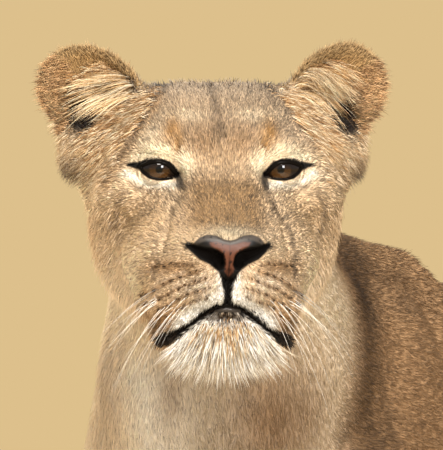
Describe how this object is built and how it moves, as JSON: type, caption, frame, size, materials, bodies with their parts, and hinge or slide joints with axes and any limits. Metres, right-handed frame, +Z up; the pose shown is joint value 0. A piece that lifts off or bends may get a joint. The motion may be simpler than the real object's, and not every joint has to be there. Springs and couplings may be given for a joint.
{
  "type": "lioness model",
  "caption": "Life-size standing lioness, a still museum-type model with her raised head turned to her left and her tail hanging.",
  "frame": {"origin": "middle of the base of the whole animal's box, on the floor", "axes": "+Y along the body towards the rump and tail, +X to her left, +Z up; the head end is -Y"},
  "size_m": [0.5392, 1.7382, 1.1342],
  "materials": {
    "coat": "short tawny fur, lying flat",
    "pale_coat": "longer off-white fur of the chin",
    "ear_coat": "short fur outside, long pale hair inside",
    "tuft_coat": "long dark hair",
    "nose_leather": "moist bare skin, pink with dark edges",
    "eye": "polished, clear cornea over a brown iris"
  },
  "bodies": {
    "root": {"head": "coat", "neck": "coat", "chest": "coat", "belly": "coat", "hips": "coat", "shoulder_left": "coat", "shoulder_right": "coat", "forearm_left": "coat", "forearm_right": "coat", "forepaw_left": "coat", "forepaw_right": "coat", "thigh_left": "coat", "thigh_right": "coat", "shank_left": "coat", "shank_right": "coat", "hindpaw_left": "coat", "hindpaw_right": "coat", "tail_base": "coat", "tail_middle": "coat", "lower_jaw": "pale_coat", "ear_left": "ear_coat", "ear_right": "ear_coat", "tail_tuft": "tuft_coat", "nose": "nose_leather", "eye_left": "eye", "eye_right": "eye"}
  },
  "joints": []
}
